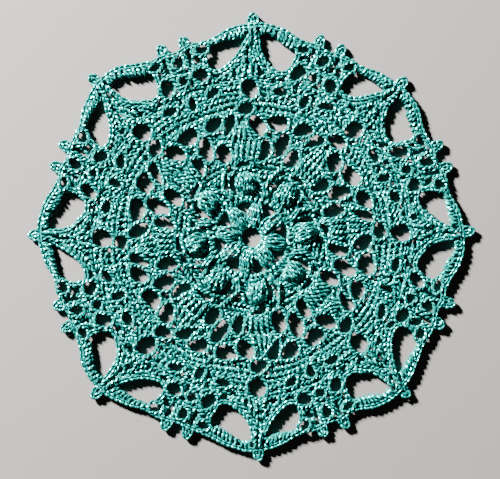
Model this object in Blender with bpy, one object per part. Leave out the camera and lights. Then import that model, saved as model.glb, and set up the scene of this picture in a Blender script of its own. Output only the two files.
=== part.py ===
"""Lace doily in crochet cotton: one piece, worked in rounds from the middle, lying flat.

Units are metres and +Z is up. The origin is on the ground under the middle of the doily's
outline box, and one of the eight points of the edge faces +Y.

The doily is a thin pierced sheet. Its gaps, its raised stitches and its edge are read from
short tables that describe one repeat, an eighth of the round. The loops below lay that repeat
out eight times, each one pulled a little out of true as handwork is.
"""
import math
from typing import NamedTuple

import bmesh
import bpy
import numpy as np
from mathutils import Vector
from mathutils.geometry import delaunay_2d_cdt

MM = 0.001

# Driving sizes, in millimetres and degrees.
REPEATS = 8
REPEAT_ANGLE = 360.0 / REPEATS
TIP_RADIUS = 90.3        # from the middle to the tips of the eight points
RIM_HEIGHT = 1.0         # top of the thread at a gap's rim, where one strand curls down
BODY_HEIGHT = 1.7        # top of the worked cloth, two strands thick
STRAND_HALF_WIDTH = 1.5  # from a rim to the crown of a worked strand
CENTRE_HOLE_RADIUS = 3.7
CENTRE_HOLE_POINTS = 12
EDGE_STEP = 2.6          # degrees between two points along an arch of the edge

BRAID_ARC_STEP = 5.0     # degrees between the corners of a braid's line
BRAID_POINT_STEP = 3.0   # between two points along a braid's crown
GRID_PITCH = 3.9        # spacing of the points of the plain cloth
GRID_RIM_CLEARANCE = 1.0
GRID_STITCH_CLEARANCE = 1.7
RIM_CLEARANCE = 0.45     # least distance from a raised stitch's points to a rim
STITCH_CLEARANCE = 0.95  # and to the points of another stitch

CLOTH_COLOUR = (0.105, 0.385, 0.345, 1.0)
CLOTH_ROUGHNESS = 0.55


class Pull(NamedTuple):
    """How far the edge is pulled out of true in one direction."""

    name: str
    reach: float  # mm beyond the mean radius
    swing: float  # degrees clockwise of the even place


class Gap(NamedTuple):
    """One gap of the repeat, an oval between the strands."""

    name: str
    angle: float   # degrees clockwise from the repeat's corner to the gap's middle
    radius: float  # mm from the doily's middle
    length: float  # mm along the long axis
    width: float   # mm across it
    lean: float    # degrees clockwise from straight out to the long axis
    taper: float   # how much the outer end narrows, 0 for an even oval
    points: int    # corners of the gap's outline


class Posts(NamedTuple):
    """A fan of tall stitches, from their feet on one round to their heads on the next."""

    name: str
    count: int
    foot_first: float   # degrees clockwise from the corner
    foot_last: float
    foot_radius: float  # mm
    head_first: float   # degrees
    head_last: float
    head_radius: float  # mm
    width: float        # mm across one stitch
    rise: float         # mm above the worked cloth


class Braid(NamedTuple):
    """The braided heads of a run of stitches, raised along an arc of the round."""

    name: str
    angle_first: float   # degrees clockwise from the corner
    radius_first: float  # mm
    angle_last: float
    radius_last: float
    width: float         # mm
    rise: float          # mm


class Picot(NamedTuple):
    """A small loop that stands out of the edge."""

    name: str
    angle: float      # degrees clockwise from the corner to the tip
    tip: float        # mm from the middle to the tip
    half_foot: float  # degrees from the tip to where the loop leaves the edge


PULLS = (
    Pull("corner 1", 0.0, 0.7),
    Pull("side 1", 0.6, 0.1),
    Pull("corner 2", -0.6, -0.7),
    Pull("side 2", 0.5, -0.4),
    Pull("corner 3", -0.5, -1.5),
    Pull("side 3", 0.2, -0.9),
    Pull("corner 4", -0.2, 0.2),
    Pull("side 4", 0.0, -0.9),
    Pull("corner 5", -0.5, -1.9),
    Pull("side 5", -0.5, -1.0),
    Pull("corner 6", 0.4, 0.0),
    Pull("side 6", -1.0, 0.1),
    Pull("corner 7", -0.5, 0.8),
    Pull("side 7", 0.4, 1.0),
    Pull("corner 8", 2.0, 0.3),
    Pull("side 8", -0.2, 0.4),
)

GAPS = (
    #   name                 angle  radius length width  lean taper points
    Gap("between petals",    -11.6,  12.3,   5.0,  3.7,   0.0, -0.4, 7),
    Gap("beside popcorn",    -19.6,  23.0,   6.4,  1.9,  24.0,  0.0, 6),
    Gap("above popcorn",      -5.6,  29.6,   6.4,  1.7,  90.0,  0.0, 6),
    Gap("leaf left",         -17.9,  35.2,   7.2,  4.7,  10.0,  0.0, 8),
    Gap("leaf right",          8.1,  35.0,   7.6,  3.9,  10.0,  0.0, 8),
    Gap("between leaves",     17.9,  39.2,   9.4,  5.0,  15.0,  0.0, 9),
    Gap("net left",          -18.8,  47.4,   7.4,  4.6,  50.0,  0.2, 8),
    Gap("net beside tip",    -11.1,  45.7,   9.0,  3.5,  33.0, -0.1, 8),
    Gap("net right of tip",    3.2,  44.8,   8.0,  4.9, -36.0,  0.0, 8),
    Gap("net right",          13.2,  47.0,   8.4,  5.4,  82.0,  0.0, 8),
    Gap("over the tip",       -2.4,  51.7,   6.8,  4.2,  78.0,  0.0, 8),
    Gap("corner eye",         -0.9,  59.6,   6.9,  6.4,   0.0,  0.0, 8),
    Gap("block right",        11.8,  59.1,   5.0,  2.1,  94.0,  0.0, 6),
    Gap("block left",        -15.5,  59.6,   5.0,  2.0,  76.0,  0.0, 6),
    Gap("side upright",       21.2,  57.8,   5.6,  2.9,   5.0,  0.0, 6),
    Gap("ladder left",       -17.6,  67.7,   5.7,  5.0, -50.0,  0.0, 8),
    Gap("ladder right",       15.6,  67.8,   7.0,  4.4,  32.0,  0.0, 8),
    Gap("ladder middle",      21.3,  68.0,   3.9,  3.5,  75.0,  0.0, 6),
    Gap("arch left",          -9.0,  74.6,  17.6,  8.8,  60.0,  0.3, 14),
    Gap("arch right",          7.4,  74.6,  17.2, 10.8, -56.0,  0.0, 14),
    Gap("side eye",           22.1,  75.7,   5.2,  4.0,  25.0,  0.0, 7),
    Gap("picot left",        -15.2,  78.1,   4.8,  1.7,  55.0,  0.0, 6),
    Gap("picot right",        15.4,  77.7,   4.6,  1.8,  85.0,  0.0, 6),
)

POSTS = (
    #     name                n  foot first/last  at     head first/last   at  width  rise
    Posts("small V left",     1,  18.0,  18.0,  18.6,   12.6,  12.6,  24.2,  1.6,  0.5),
    Posts("small V right",    1,  20.0,  20.0,  18.8,   26.0,  26.0,  26.4,  1.8,  0.5),
    Posts("leaf",             5, -13.4,   4.6,  32.2,  -13.0,   6.4,  38.4,  1.7,  0.6),
    Posts("leaf tip",         5, -12.0,   1.5,  40.6,   -5.6,  -1.4,  47.6,  1.5,  0.6),
    Posts("large V left",     1,  16.4,  16.4,  32.8,   12.4,  12.4,  39.4,  1.6,  0.5),
    Posts("large V right",    1,  18.8,  18.8,  32.8,   24.2,  24.2,  40.8,  1.6,  0.5),
    Posts("net bar left",     1,   7.8,   7.8,  42.4,    7.4,   7.4,  48.6,  1.4,  0.5),
    Posts("net bar right",    1,  21.6,  21.6,  43.6,   20.4,  20.4,  50.4,  1.4,  0.5),
    Posts("net branch",       1, -16.8, -16.8,  42.0,  -13.4, -13.4,  49.4,  1.8,  0.5),
    Posts("fan, lower",       5,  -8.6,   6.6,  65.4,   -3.0,   1.8,  74.0,  1.5,  0.6),
    Posts("fan, upper",       3,  -2.4,   1.2,  75.0,   -0.8,   0.8,  81.0,  1.4,  0.6),
    Posts("ladder left",      1, -14.4, -14.4,  65.2,  -14.9, -14.9,  71.4,  1.4,  0.5),
    Posts("ladder middle",    1,  24.6,  24.6,  64.6,   24.4,  24.4,  71.4,  1.6,  0.5),
    Posts("ladder right",     1,  19.0,  19.0,  65.2,   18.9,  18.9,  71.4,  1.4,  0.5),
    Posts("side eye left",    1,  19.8,  19.8,  73.2,   19.6,  19.6,  79.2,  1.6,  0.5),
    Posts("side eye right",   1,  24.8,  24.8,  73.2,   24.8,  24.8,  79.2,  1.6,  0.5),
)

BRAIDS = (
    #     name               from       at    to        at  width rise
    Braid("petal loops",    -22.5,   15.8,  22.5,   15.8,  1.6,  0.3),
    Braid("over popcorn",   -14.0,   28.0,   3.0,   28.2,  1.4,  0.3),
    Braid("leaf feet",      -22.5,   31.6,  22.5,   31.6,  1.6,  0.4),
    Braid("leaf heads",     -14.0,   39.4,  12.0,   39.8,  1.4,  0.3),
    Braid("net left",       -22.5,   51.4,  -7.0,   50.0,  1.6,  0.4),
    Braid("net right",        1.0,   49.6,  22.5,   51.2,  1.6,  0.4),
    Braid("row 1 left",     -22.5,   54.6,  -6.5,   54.0,  1.6,  0.4),
    Braid("row 1 right",      3.0,   54.0,  22.5,   54.4,  1.6,  0.4),
    Braid("row 2 left",     -22.5,   57.4,  -5.5,   57.4,  1.6,  0.4),
    Braid("row 2 right",      3.5,   56.8,  18.5,   57.0,  1.6,  0.4),
    Braid("row 3 left",     -13.0,   61.4,  -5.0,   60.8,  1.6,  0.4),
    Braid("row 3 right",      4.0,   61.0,   9.0,   61.0,  1.6,  0.4),
    Braid("row 4",          -22.5,   64.0,  22.5,   63.8,  1.6,  0.4),
    Braid("fan side left",  -11.5,   67.4,  -2.4,   78.6,  1.6,  0.5),
    Braid("fan side right",   8.8,   66.4,   1.8,   79.0,  1.6,  0.5),
    Braid("loop end left",  -15.0,   73.0, -13.6,   79.0,  1.6,  0.4),
    Braid("loop end right",  12.4,   68.6,  14.2,   75.6,  1.6,  0.4),
    Braid("side band",       14.4,   72.0,  30.0,   72.0,  1.6,  0.4),
    Braid("arch left",      -18.0,   79.8,  -2.0,   82.8,  2.8,  0.6),
    Braid("arch right",       2.0,   84.2,  13.0,   79.0,  2.8,  0.6),
)

PICOTS = (
    Picot("corner", 0.0, TIP_RADIUS, 1.9),
    Picot("side left", -19.5, 85.3, 2.0),
    Picot("side right", 19.1, 85.6, 2.0),
)

# The edge between the picots: degrees clockwise from the corner, and mm from the middle.
EDGE_ANGLES = (-22.5, -15.5, -12.5, -8.0, -4.0, 0.0, 4.0, 8.0, 12.5, 15.5, 22.5)
EDGE_RADII = (80.3, 81.6, 81.5, 83.8, 85.2, 86.2, 86.2, 85.0, 82.2, 81.4, 80.3)

# The domes: petals round the middle, and a popcorn of five gathered stitches in each repeat.
PETAL_ANGLE = 10.0
PETAL_RADII = (4.6, 14.4)   # mm, foot and head
PETAL_WIDTH = 6.4
PETAL_RISE = 1.3
POPCORN_ANGLE = -6.2
POPCORN_RADIUS = 22.2
POPCORN_HALF_WIDTH = 4.7
POPCORN_RISE = 3.1
POPCORN_RINGS = ((0.0, 1), (0.55, 6), (1.0, 11))  # share of the half width, points


def eased_pull(turn: float) -> Pull:
    """The pull at an angle, eased from one named direction's to the next one's."""
    steps = turn / (360.0 / len(PULLS))
    first = math.floor(steps)
    share = 0.5 - 0.5 * math.cos(math.pi * (steps - first))
    before = PULLS[first % len(PULLS)]
    after = PULLS[(first + 1) % len(PULLS)]
    return Pull("between", before.reach + share * (after.reach - before.reach),
                before.swing + share * (after.swing - before.swing))


def place(turn: float, radius: float) -> Vector:
    """Where a point of the even pattern lies on the handmade doily.

    turn is in degrees clockwise from +Y and radius in mm; the answer is in mm.
    """
    out = radius / TIP_RADIUS
    pull = eased_pull(turn)
    heading = math.radians(turn + pull.swing * out)
    stretched = radius + pull.reach * out ** 2
    return Vector((stretched * math.sin(heading), stretched * math.cos(heading)))


def middle_of_box() -> Vector:
    """The middle of the outline's box, from the four tips that reach furthest."""
    top, right, bottom, left = (place(90.0 * side, TIP_RADIUS) for side in range(4))
    return Vector(((left.x + right.x) / 2, (top.y + bottom.y) / 2))


def gap_outline(gap: Gap, repeat: int) -> list:
    """The corners of one gap, in mm."""
    turn = gap.angle + repeat * REPEAT_ANGLE
    middle = place(turn, gap.radius)
    heading = math.radians(turn + gap.lean)
    along = Vector((math.sin(heading), math.cos(heading)))
    across = Vector((along.y, -along.x))
    outline = []
    for step in range(gap.points):
        phase = 2 * math.pi * (step + 0.5) / gap.points
        end = math.cos(phase)
        side = math.sin(phase) * (1.0 - gap.taper * end)
        outline.append(middle + along * (end * gap.length / 2) + across * (side * gap.width / 2))
    return outline


def edge_radius(angle: float) -> float:
    """How far the edge lies from the middle, in mm, without its picots."""
    return float(np.interp(angle, EDGE_ANGLES, EDGE_RADII))


def edge_outline() -> list:
    """The doily's outer edge, all round, in mm."""
    marks = []
    for picot in PICOTS:
        # The loop's foot, shoulder, tip, shoulder and foot: share of the half foot, of the height.
        for side, lift in ((-1.0, 0.0), (-0.72, 0.55), (-0.3, 0.94), (0.3, 0.94), (0.72, 0.55), (1.0, 0.0)):
            angle = picot.angle + side * picot.half_foot
            base = edge_radius(angle)
            marks.append((angle, base + lift * (picot.tip - base)))
        marks.append((picot.angle, picot.tip))
    angle = -REPEAT_ANGLE / 2
    while angle < REPEAT_ANGLE / 2:
        if all(abs(angle - picot.angle) > picot.half_foot + EDGE_STEP / 2 for picot in PICOTS):
            marks.append((angle, edge_radius(angle)))
        angle += EDGE_STEP
    marks.sort()
    outline = []
    for repeat in range(REPEATS):
        outline.extend(place(angle + repeat * REPEAT_ANGLE, radius) for angle, radius in marks)
    return outline


def centre_outline() -> list:
    """The ring of thread in the middle, in mm."""
    step = 360.0 / CENTRE_HOLE_POINTS
    return [place(step * count, CENTRE_HOLE_RADIUS) for count in range(CENTRE_HOLE_POINTS)]


def between(first: float, last: float, step: int, count: int) -> float:
    """The value of one step of count that runs evenly from first to last."""
    return first if count == 1 else first + (last - first) * step / (count - 1)


def stitch_lines(repeat: int) -> list:
    """Every raised line of one repeat: its two ends in mm, its width and its rise."""
    turn = repeat * REPEAT_ANGLE
    lines = []
    for row in POSTS:
        for post in range(row.count):
            foot = place(turn + between(row.foot_first, row.foot_last, post, row.count), row.foot_radius)
            head = place(turn + between(row.head_first, row.head_last, post, row.count), row.head_radius)
            lines.append((foot, head, row.width, row.rise))
    for row in BRAIDS:
        steps = max(1, round(abs(row.angle_last - row.angle_first) / BRAID_ARC_STEP))
        ends = [place(turn + between(row.angle_first, row.angle_last, step, steps + 1),
                      between(row.radius_first, row.radius_last, step, steps + 1))
                for step in range(steps + 1)]
        lines.extend((start, end, row.width, row.rise) for start, end in zip(ends, ends[1:]))
    petal = turn + PETAL_ANGLE
    lines.append((place(petal, PETAL_RADII[0]), place(petal, PETAL_RADII[1]), PETAL_WIDTH, PETAL_RISE))
    return lines


def stitch_points(repeat: int) -> list:
    """The points that draw the raised stitches of one repeat, in mm."""
    turn = repeat * REPEAT_ANGLE
    points = []
    for row in POSTS:
        # Crowns lie on the whole steps, and the troughs between two stitches on the half steps.
        for half in range(2 * row.count - 1):
            foot = between(row.foot_first, row.foot_last, half, 2 * row.count - 1)
            head = between(row.head_first, row.head_last, half, 2 * row.count - 1)
            shares = (0.0, 0.5, 1.0) if half % 2 == 0 else (0.25, 0.75)
            points.extend(place(turn + foot + (head - foot) * share,
                                row.foot_radius + (row.head_radius - row.foot_radius) * share)
                          for share in shares)
    for row in BRAIDS:
        length = (place(row.angle_last, row.radius_last) - place(row.angle_first, row.radius_first)).length
        steps = max(1, round(length / BRAID_POINT_STEP))
        points.extend(place(turn + between(row.angle_first, row.angle_last, step, steps + 1),
                            between(row.radius_first, row.radius_last, step, steps + 1))
                      for step in range(steps + 1))
    for radius in np.linspace(PETAL_RADII[0] + 0.8, PETAL_RADII[1], 4):
        for side in (-0.3, 0.0, 0.3):
            slant = math.degrees(side * PETAL_WIDTH / radius)
            points.append(place(turn + PETAL_ANGLE + slant, radius))
    middle = place(turn + POPCORN_ANGLE, POPCORN_RADIUS)
    for share, count in POPCORN_RINGS:
        for step in range(count):
            heading = 2 * math.pi * step / count
            spoke = Vector((math.sin(heading), math.cos(heading)))
            points.append(middle + spoke * (share * POPCORN_HALF_WIDTH))
    return points


def grid_points() -> list:
    """Rings of points over the whole cloth, in mm."""
    points = []
    rings = int((TIP_RADIUS - CENTRE_HOLE_RADIUS) / GRID_PITCH)
    for ring in range(1, rings + 1):
        radius = CENTRE_HOLE_RADIUS + ring * GRID_PITCH
        count = int(2 * math.pi * radius / GRID_PITCH)
        points.extend(place(360.0 * (step + 0.5 * (ring % 2)) / count, radius) for step in range(count))
    return points


def closed_edges(outline: list) -> tuple:
    """The starts and ends of an outline's sides, as two arrays."""
    starts = np.array([tuple(point) for point in outline])
    return starts, np.roll(starts, -1, axis=0)


def distance_to(points: np.ndarray, starts: np.ndarray, ends: np.ndarray) -> np.ndarray:
    """The distance from each point to each straight line."""
    sides = ends - starts
    lengths = np.maximum((sides ** 2).sum(axis=1), 1e-12)
    reach = points[:, None, :] - starts[None, :, :]
    share = np.clip((reach * sides[None, :, :]).sum(axis=2) / lengths[None, :], 0.0, 1.0)
    nearest = starts[None, :, :] + share[..., None] * sides[None, :, :]
    return np.linalg.norm(points[:, None, :] - nearest, axis=2)


def inside(points: np.ndarray, outline: list) -> np.ndarray:
    """Which points lie inside an outline, by counting the sides to their right."""
    starts, ends = closed_edges(outline)
    x, y = points[:, :1], points[:, 1:]
    spans = (starts[:, 1] > y) != (ends[:, 1] > y)
    rise = np.where(ends[:, 1] == starts[:, 1], 1e-12, ends[:, 1] - starts[:, 1])
    crossing = starts[:, 0] + (y - starts[:, 1]) * (ends[:, 0] - starts[:, 0]) / rise
    return ((spans & (x < crossing)).sum(axis=1) % 2) == 1


def on_cloth(points: np.ndarray, edge: list, holes: list) -> np.ndarray:
    """Which points lie on the cloth: inside the edge and in no hole."""
    kept = inside(points, edge)
    for hole in holes:
        reach = max((corner - hole[0]).length for corner in hole)
        near = np.linalg.norm(points - np.array(hole[0]), axis=1) < reach
        if near.any():
            kept[near] &= ~inside(points[near], hole)
    return kept


def crown_points(edge: list, holes: list) -> np.ndarray:
    """The points inside the cloth: the raised stitches first, then the plain grid between them."""
    rims = [closed_edges(outline) for outline in [edge] + holes]
    starts = np.concatenate([rim[0] for rim in rims])
    ends = np.concatenate([rim[1] for rim in rims])
    kept = np.empty((0, 2))
    stitches = [tuple(point) for repeat in range(REPEATS) for point in stitch_points(repeat)]
    plain = [tuple(point) for point in grid_points()]
    for batch, rim_gap, spacing in ((stitches, RIM_CLEARANCE, STITCH_CLEARANCE),
                                    (plain, GRID_RIM_CLEARANCE, GRID_STITCH_CLEARANCE)):
        points = np.array(batch)
        points = points[on_cloth(points, edge, holes)]
        points = points[distance_to(points, starts, ends).min(axis=1) > rim_gap]
        for point in points:
            if not len(kept) or np.linalg.norm(kept - point, axis=1).min() > spacing:
                kept = np.vstack([kept, point])
    return kept


def top_heights(points: np.ndarray, edge: list, holes: list) -> np.ndarray:
    """The height of the cloth's upper side at each point, in mm."""
    rims = [closed_edges(outline) for outline in [edge] + holes]
    starts = np.concatenate([rim[0] for rim in rims])
    ends = np.concatenate([rim[1] for rim in rims])
    from_rim = np.clip(distance_to(points, starts, ends).min(axis=1) / STRAND_HALF_WIDTH, 0.0, 1.0)
    roundness = np.sqrt(1.0 - (1.0 - from_rim) ** 2)
    heights = RIM_HEIGHT + (BODY_HEIGHT - RIM_HEIGHT) * roundness
    lines = [line for repeat in range(REPEATS) for line in stitch_lines(repeat)]
    line_starts = np.array([tuple(line[0]) for line in lines])
    line_ends = np.array([tuple(line[1]) for line in lines])
    half_widths = np.array([line[2] / 2 for line in lines])
    rises = np.array([line[3] for line in lines])
    off_line = distance_to(points, line_starts, line_ends) / half_widths
    heights += (rises * np.sqrt(np.clip(1.0 - off_line ** 2, 0.0, 1.0))).max(axis=1) * roundness
    for repeat in range(REPEATS):
        middle = place(repeat * REPEAT_ANGLE + POPCORN_ANGLE, POPCORN_RADIUS)
        off_middle = np.linalg.norm(points - np.array(tuple(middle)), axis=1) / (POPCORN_HALF_WIDTH * 1.05)
        heights += POPCORN_RISE * np.sqrt(np.clip(1.0 - off_middle ** 2, 0.0, 1.0)) * np.sqrt(roundness)
    return heights


def cloth_triangles(points: list, rims: list, edge: list, holes: list) -> list:
    """Triangles over the cloth only, anticlockwise from above, as indices of the points."""
    corners, _, faces, origins, _, _ = delaunay_2d_cdt([Vector(point) for point in points], rims, [], 0, 1e-7)
    old = [origin[0] for origin in origins]
    places = np.array([tuple(corner) for corner in corners])
    middles = np.array([places[list(face)].mean(axis=0) for face in faces])
    kept = on_cloth(middles, edge, holes)
    return [[old[corner] for corner in face] for face, keep in zip(faces, kept) if keep]


def doily_mesh() -> bpy.types.Mesh:
    """The whole doily as one closed body."""
    edge = edge_outline()
    holes = [centre_outline()]
    holes += [gap_outline(gap, repeat) for repeat in range(REPEATS) for gap in GAPS]
    rim_points = []
    rim_sides = []
    for outline in [edge] + holes:
        first = len(rim_points)
        rim_points.extend(tuple(point) for point in outline)
        rim_sides.extend((first + step, first + (step + 1) % len(outline)) for step in range(len(outline)))
    crowns = [tuple(point) for point in crown_points(edge, holes)]
    top_points = rim_points + crowns
    top_faces = cloth_triangles(top_points, rim_sides, edge, holes)
    floor_faces = cloth_triangles(rim_points, rim_sides, edge, holes)
    crown_heights = top_heights(np.array(crowns), edge, holes)
    heights = [RIM_HEIGHT] * len(rim_points) + [float(height) for height in crown_heights]

    shift = middle_of_box()
    shape = bmesh.new()
    top = [shape.verts.new(((x - shift.x) * MM, (y - shift.y) * MM, height * MM))
           for (x, y), height in zip(top_points, heights)]
    floor = [shape.verts.new(((x - shift.x) * MM, (y - shift.y) * MM, 0.0)) for x, y in rim_points]
    for face in top_faces:
        shape.faces.new([top[corner] for corner in face])
    for face in floor_faces:
        shape.faces.new([floor[corner] for corner in reversed(face)])
    for start, end in rim_sides:
        shape.faces.new((top[start], top[end], floor[end], floor[start]))
    bmesh.ops.recalc_face_normals(shape, faces=shape.faces)
    mesh = bpy.data.meshes.new("doily")
    shape.to_mesh(mesh)
    shape.free()
    return mesh


def cotton_material() -> bpy.types.Material:
    """Mercerised crochet cotton, dyed sea green."""
    material = bpy.data.materials.new("crochet_cotton")
    material.use_nodes = True
    shader = material.node_tree.nodes["Principled BSDF"]
    shader.inputs["Base Color"].default_value = CLOTH_COLOUR
    shader.inputs["Roughness"].default_value = CLOTH_ROUGHNESS
    shader.inputs["Metallic"].default_value = 0.0
    return material


def main() -> None:
    """Clear the scene and build the doily in its own collection."""
    for leftover in list(bpy.data.objects):
        bpy.data.objects.remove(leftover)
    collection = bpy.data.collections.new("lace_doily")
    bpy.context.scene.collection.children.link(collection)
    mesh = doily_mesh()
    mesh.materials.append(cotton_material())
    doily = bpy.data.objects.new("doily", mesh)
    collection.objects.link(doily)


main()
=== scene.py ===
"""Lace doily in mercerised crochet cotton, laid flat on a plain table.

The doily is worked here as the real one is, from one thread: the braided heads and chains of
every round, the tall stitches between two rounds, the puffed petals and popcorns, the arches
of single crochet at the edge and the picots on them. Short tables chart one repeat, an eighth
of the round. Angles are degrees clockwise from a corner of the edge, and sizes are
millimetres until a mesh is made in metres.
"""
import logging
import math
from collections.abc import Iterator
from dataclasses import dataclass, field
from enum import Enum
from typing import NamedTuple

import bpy
import numpy as np
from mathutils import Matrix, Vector


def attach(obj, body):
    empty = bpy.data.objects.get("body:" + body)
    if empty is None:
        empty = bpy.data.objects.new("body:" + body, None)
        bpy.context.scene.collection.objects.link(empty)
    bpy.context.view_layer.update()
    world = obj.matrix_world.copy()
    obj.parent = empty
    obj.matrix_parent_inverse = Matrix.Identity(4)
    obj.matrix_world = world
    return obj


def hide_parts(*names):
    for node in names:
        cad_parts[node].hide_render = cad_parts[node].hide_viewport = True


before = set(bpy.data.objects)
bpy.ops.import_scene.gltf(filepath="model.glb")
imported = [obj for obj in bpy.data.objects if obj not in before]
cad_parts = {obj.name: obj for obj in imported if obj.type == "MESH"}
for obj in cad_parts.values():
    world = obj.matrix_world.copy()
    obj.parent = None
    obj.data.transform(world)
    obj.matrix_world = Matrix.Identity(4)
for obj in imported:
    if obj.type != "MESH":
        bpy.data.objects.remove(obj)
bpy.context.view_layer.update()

log = logging.getLogger("doily")

MM = 0.001
REPEATS = 8
REPEAT_ANGLE = 360.0 / REPEATS
TIP_RADIUS = 90.3     # from the middle to the tips of the eight corners
LINE_POINTS = 6       # points of a smooth line from one charted stop to the next
UPRIGHT = 0.05        # sine of the lean under which a thread counts as upright
TINY = 1e-12          # shorter than any length that counts
NODE = "doily"
BODY = "root"
SLOT = "crochet_cotton"
UV_NAME = "thread"


class Pull(NamedTuple):
    """How far the edge is pulled out of true in one direction."""

    reach: float  # mm beyond the mean radius
    swing: float  # degrees clockwise of the even place


# Corner and side by turns, clockwise from the corner that faces +Y, as in the solid.
PULLS = (
    Pull(0.0, 0.7), Pull(0.6, 0.1), Pull(-0.6, -0.7), Pull(0.5, -0.4),
    Pull(-0.5, -1.5), Pull(0.2, -0.9), Pull(-0.2, 0.2), Pull(0.0, -0.9),
    Pull(-0.5, -1.9), Pull(-0.5, -1.0), Pull(0.4, 0.0), Pull(-1.0, 0.1),
    Pull(-0.5, 0.8), Pull(0.4, 1.0), Pull(2.0, 0.3), Pull(-0.2, 0.4),
)


class Stop(NamedTuple):
    """One point that a line of stitches passes."""

    angle: float   # degrees clockwise from the corner
    radius: float  # mm from the middle


class Family(Enum):
    """The piece that a run of stitches belongs to."""

    INNER = "inner_rounds"
    MIDDLE = "block_rounds"
    EDGE = "edge_rounds"
    PETALS = "petals"
    POPCORNS = "popcorns"
    LEAVES = "leaf_stitches"
    BLOCKS = "block_stitches"
    BORDER = "border_stitches"
    ARCHES = "arch_stitches"
    PICOTS = "picots"
    RIMS = "gap_rims"


class Braid(NamedTuple):
    """A run of braided stitch heads or chain, worked along a line."""

    name: str
    family: Family
    stops: tuple
    closed: bool = False  # one line round all eight repeats
    width: float = 1.0    # share of the usual width
    lift: float = 0.0     # mm above the usual height


class Cord(NamedTuple):
    """Two strands that lie twisted round each other along a line, as a row of stitches shows."""

    name: str
    family: Family
    stops: tuple
    closed: bool = False  # one line round all eight repeats
    lift: float = 0.0     # mm above the usual height
    lay: float = 1.0      # share of the usual lay; below zero, twisted the other way
    width: float = 1.0    # share of the usual gap between the strands


class Posts(NamedTuple):
    """A fan of tall stitches, from their feet on one round to their heads on the next."""

    name: str
    family: Family
    count: int
    corners: tuple        # the first and the last foot, then the first and the last head
    rise: float = 0.25    # mm that the middle stands above the ends
    width: float = 1.0    # share of the usual gap between the strands


class Arch(NamedTuple):
    """A band of single crochet between the edge's braid and its own inner line."""

    name: str
    outer_first: float    # degrees clockwise from the corner, on the edge's braid
    outer_last: float
    inner: tuple


class Gap(NamedTuple):
    """One gap of the repeat, between the strands."""

    name: str
    outline: tuple
    rim: bool = True      # whether a cord of its own runs round it


class Pocket(NamedTuple):
    """A small opening between stitches, round or oval."""

    angle: float
    radius: float
    width: float          # mm across
    depth: float          # mm outward


class Picot(NamedTuple):
    """A small loop of chain that stands out from the edge."""

    name: str
    angle: float
    base: float           # mm from the middle
    tip: float


def stops(*pairs: tuple) -> tuple:
    """Pairs of angle and radius as stops."""
    return tuple(Stop(*pair) for pair in pairs)


BRAIDS = (
    Braid("stem of the fork", Family.INNER, stops((19.6, 17), (17.6, 18.6), (14.6, 21.6)), lift=0.9),
    Braid("over wide gap", Family.INNER, stops(
        (5, 40.4), (8, 41.3), (12, 42), (15.5, 42.6), (18, 44.6), (20.5, 45.2), (22.5, 44.6), (25, 42.6),
        (27.5, 40.6))),
    Braid("net", Family.MIDDLE, stops(
        (-22.5, 51), (-15, 50.8), (-7.5, 50.2), (-3, 48.8), (2, 49.6), (8, 50.3), (16, 50.9)),
        closed=True),
    Braid("row 5", Family.MIDDLE, stops(
        (2, 62.6), (7, 62.2), (11.6, 62), (15, 62.4), (20.4, 64.2), (24, 64.4), (29.8, 63), (34, 62.4),
        (42.2, 62.6)), lift=0.1),
    Braid("loop left", Family.EDGE, stops(
        (-12.6, 80), (-13.6, 78.2), (-14.4, 75.6), (-15.1, 71.8), (-14.8, 69), (-12, 67.5), (-9, 68.6),
        (-6, 71.4), (-4, 74.4), (-2.4, 77.6), (-0.8, 81.2)), lift=0.3),
    Braid("loop right", Family.EDGE, stops(
        (0.9, 82), (1.4, 77.6), (2.3, 73.4), (4.6, 70), (8.4, 66.6), (11.8, 67.2), (13.4, 70.8),
        (14.3, 74), (13.8, 77.2), (12.6, 79.6)), lift=0.3),
    Braid("side band", Family.EDGE, stops(
        (14.6, 71.2), (16.6, 72), (19, 72), (22.5, 71.2), (26, 71.6), (30.2, 71.2))),
    Braid("edge", Family.EDGE, stops(
        (-22.5, 79.2), (-19.2, 80.2), (-15.5, 80.3), (-12.5, 80.2), (-8, 82.4), (-4, 83.9), (0, 84.8),
        (4, 84.8), (8, 83.6), (12.5, 81), (15.5, 80.1), (19, 80.2)), closed=True, lift=0.2),
)

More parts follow.
